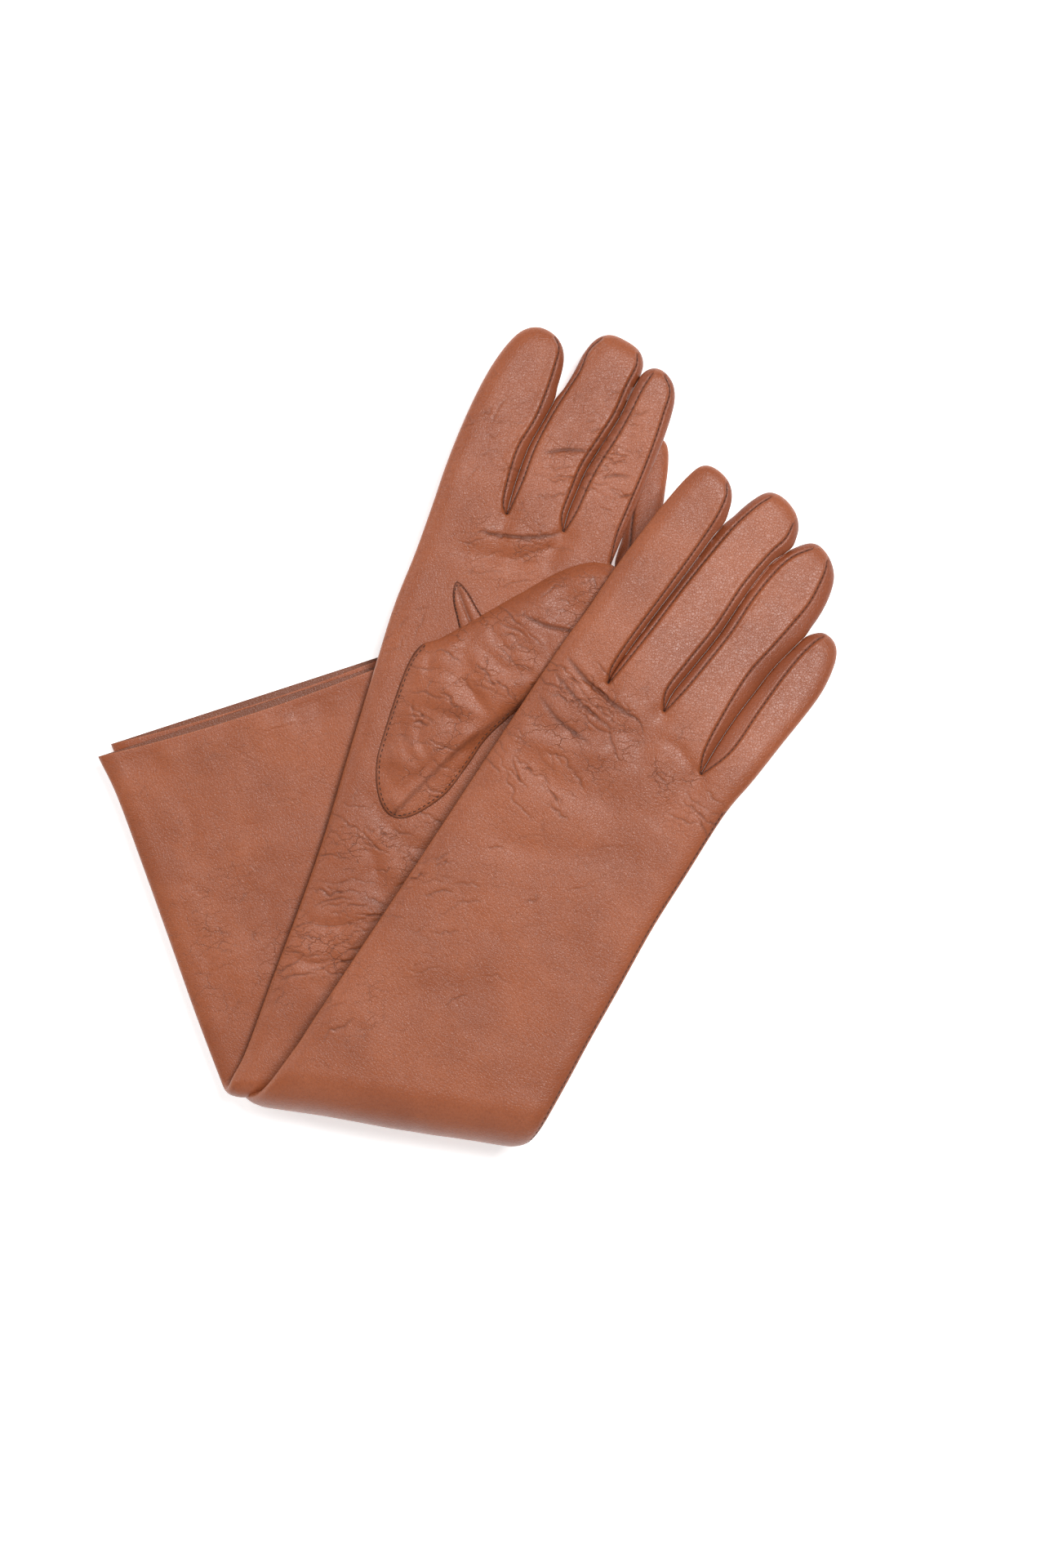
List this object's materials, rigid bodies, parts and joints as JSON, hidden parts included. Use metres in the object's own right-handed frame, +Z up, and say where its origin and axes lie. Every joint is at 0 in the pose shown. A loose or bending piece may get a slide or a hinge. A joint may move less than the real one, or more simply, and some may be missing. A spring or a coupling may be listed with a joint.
{
  "type": "leather glove pair",
  "caption": "Folded pair of long smooth leather dress gloves with hollow sleeves, sewn finger stalls, side strips and set-in thumbs.",
  "frame": {"origin": "on the table, under the middle of the pair's bounding box", "axes": "+Z up off the table, +Y along the pair towards the fingertips, +X across it"},
  "size_m": [0.2457, 0.2735, 0.0314],
  "materials": {
    "leather": "satin smooth dress leather",
    "leather_strip": "satin smooth dress leather, side strips",
    "cut_edge": "turned hem, slightly lighter",
    "thread": "fine stitched seam, dark brown"
  },
  "bodies": {
    "right_sleeve": {"right_sleeve": "leather", "right_cuff_hem": "cut_edge", "right_sleeve_seam": "thread"},
    "right_hand": {"right_hand": "leather", "right_hand_seam": "thread", "right_thumb_gusset": "leather_strip"},
    "right_index": {"right_index_fourchette_right": "leather_strip", "right_index_stall": "leather"},
    "right_middle": {"right_middle_fourchette_left": "leather_strip", "right_middle_fourchette_right": "leather_strip", "right_middle_stall": "leather"},
    "right_ring": {"right_ring_fourchette_left": "leather_strip", "right_ring_fourchette_right": "leather_strip", "right_ring_stall": "leather"},
    "right_little": {"right_little_fourchette_left": "leather_strip", "right_little_stall": "leather"},
    "right_thumb": {"right_thumb": "leather"},
    "left_sleeve": {"left_sleeve": "leather", "left_cuff_hem": "cut_edge", "left_sleeve_seam": "thread"},
    "left_hand": {"left_hand": "leather", "left_hand_seam": "thread", "left_thumb_gusset": "leather_strip"},
    "left_index": {"left_index_fourchette_right": "leather_strip", "left_index_stall": "leather"},
    "left_middle": {"left_middle_fourchette_left": "leather_strip", "left_middle_fourchette_right": "leather_strip", "left_middle_stall": "leather"},
    "left_ring": {"left_ring_fourchette_left": "leather_strip", "left_ring_fourchette_right": "leather_strip", "left_ring_stall": "leather"},
    "left_little": {"left_little_fourchette_left": "leather_strip", "left_little_stall": "leather"},
    "left_thumb": {"left_thumb": "leather"}
  },
  "joints": [
    {"name": "left_glove_slide", "type": "slide", "parent": "right_sleeve", "child": "left_sleeve", "axis": [-0.309, 0.9511, 0], "range_m": [0, 0.3]},
    {"name": "right_fold", "type": "hinge", "parent": "right_sleeve", "child": "right_hand", "pos_m": [-0.07463, -0.12181, 0.0157], "axis": [0.988, -0.1545, 0], "range_deg": [0, 160]},
    {"name": "left_fold", "type": "hinge", "parent": "left_sleeve", "child": "left_hand", "pos_m": [-0.03563, -0.11981, 0.0157], "axis": [1, 0, 0], "range_deg": [0, 160]},
    {"name": "right_index_lift", "type": "hinge", "parent": "right_hand", "child": "right_index", "pos_m": [0.03921, 0.02381, 0.0314], "axis": [-0.8499, 0.527, 0], "range_deg": [-80, 0]},
    {"name": "right_middle_lift", "type": "hinge", "parent": "right_hand", "child": "right_middle", "pos_m": [0.05693, 0.01379, 0.0314], "axis": [-0.8211, 0.5707, 0], "range_deg": [-80, 0]},
    {"name": "right_ring_lift", "type": "hinge", "parent": "right_hand", "child": "right_ring", "pos_m": [0.07247, -0.00055, 0.0314], "axis": [-0.8059, 0.592, 0], "range_deg": [-80, 0]},
    {"name": "right_little_lift", "type": "hinge", "parent": "right_hand", "child": "right_little", "pos_m": [0.08376, -0.01637, 0.0314], "axis": [-0.8028, 0.5962, 0], "range_deg": [-80, 0]},
    {"name": "right_thumb_swing", "type": "hinge", "parent": "right_hand", "child": "right_thumb", "pos_m": [0.00114, -0.05015, 0.0226], "axis": [0, 0, 1], "range_deg": [-8, 10]},
    {"name": "left_index_lift", "type": "hinge", "parent": "left_hand", "child": "left_index", "pos_m": [0.00229, 0.0788, 0.0194], "axis": [-0.9354, 0.3535, 0], "range_deg": [-80, 0]},
    {"name": "left_middle_lift", "type": "hinge", "parent": "left_hand", "child": "left_middle", "pos_m": [0.02329, 0.0719, 0.0194], "axis": [-0.9048, 0.4258, 0], "range_deg": [-80, 0]},
    {"name": "left_ring_lift", "type": "hinge", "parent": "left_hand", "child": "left_ring", "pos_m": [0.03964, 0.06478, 0.0194], "axis": [-0.9205, 0.3907, 0], "range_deg": [-80, 0]},
    {"name": "left_little_splay", "type": "hinge", "parent": "left_hand", "child": "left_little", "pos_m": [0.05685, 0.05298, 0.0178], "axis": [0, 0, 1], "range_deg": [-6, 0]},
    {"name": "left_thumb_swing", "type": "hinge", "parent": "left_hand", "child": "left_thumb", "pos_m": [-0.01703, 0.00644, 0.022], "axis": [0, 0, 1], "range_deg": [-6, 10]}
  ],
  "couplings": [
    {"joint": "left_fold", "follows": "right_fold", "ratio": 1}
  ]
}
